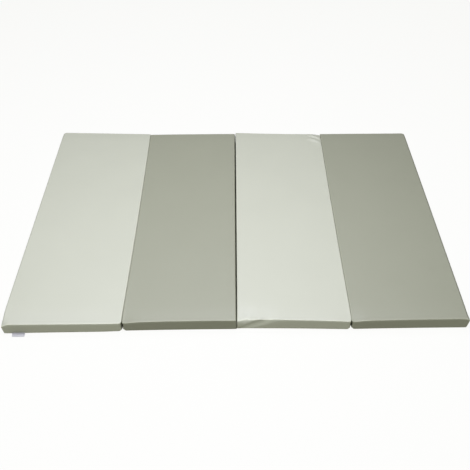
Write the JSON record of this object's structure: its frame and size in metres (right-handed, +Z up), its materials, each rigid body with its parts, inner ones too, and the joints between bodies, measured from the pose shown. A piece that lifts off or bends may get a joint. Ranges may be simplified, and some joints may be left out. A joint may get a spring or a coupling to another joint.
{
  "type": "folding baby play mat",
  "caption": "Long flat mat of filled leatherette pads joined by sewn folds, lying open on the floor for a baby to play on.",
  "frame": {"origin": "on the floor, under the centre of the mat's footprint with its label", "axes": "+X along the long side, across the folds; +Z up; the front edge, with the label, faces -Y"},
  "size_m": [1.3999, 1.0216, 0.0499],
  "materials": {
    "off_white_cover": "fine-grained satin leatherette",
    "grey_cover": "fine-grained satin leatherette",
    "label_cloth": "matt woven tape, blank"
  },
  "bodies": {
    "root": {"panel_1": "off_white_cover", "panel_2": "grey_cover", "panel_3": "off_white_cover", "panel_4": "grey_cover", "seam_1_2": "grey_cover", "seam_3_4": "grey_cover", "hinge_2_3": "grey_cover", "label": "label_cloth"}
  },
  "joints": []
}
